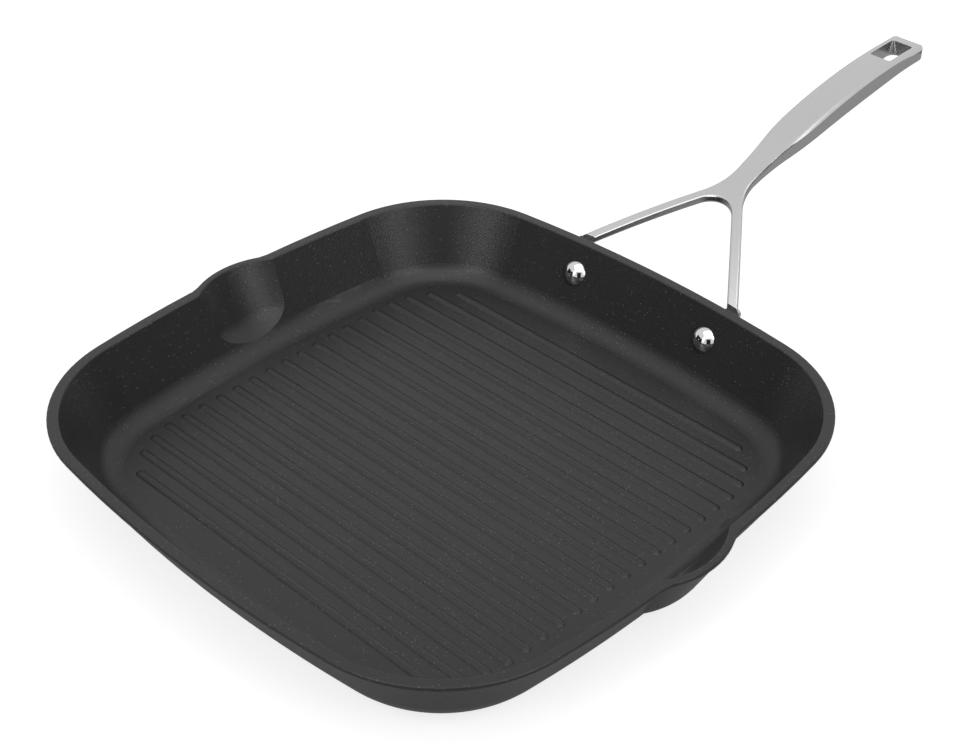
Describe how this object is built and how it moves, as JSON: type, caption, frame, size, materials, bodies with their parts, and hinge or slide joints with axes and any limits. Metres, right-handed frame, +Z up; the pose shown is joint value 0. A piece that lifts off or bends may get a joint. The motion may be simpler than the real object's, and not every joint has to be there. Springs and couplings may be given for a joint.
{
  "type": "grill pan",
  "caption": "Square cast grill pan with a low ribbed floor, sloped walls, pouring spouts in opposite sides and a riveted forked metal handle.",
  "frame": {"origin": "the centre of the flat underside of the pan", "axes": "+Z points up, +Y points along the handle away from the pan, +X points along the ribs to one spout"},
  "size_m": [0.3006, 0.4971, 0.0927],
  "materials": {
    "pan_coating": "cast aluminium under a charcoal non-stick coating, matte to satin, with a fine pale speckle",
    "base_steel": "brushed stainless plate let into the underside",
    "handle_steel": "cast stainless steel, satin on the top face and polished at the edges",
    "rivet_steel": "polished stainless steel"
  },
  "bodies": {
    "root": {"pan_body": "pan_coating", "base_plate": "base_steel", "handle": "handle_steel", "rivet_left": "rivet_steel", "rivet_right": "rivet_steel"}
  },
  "joints": []
}
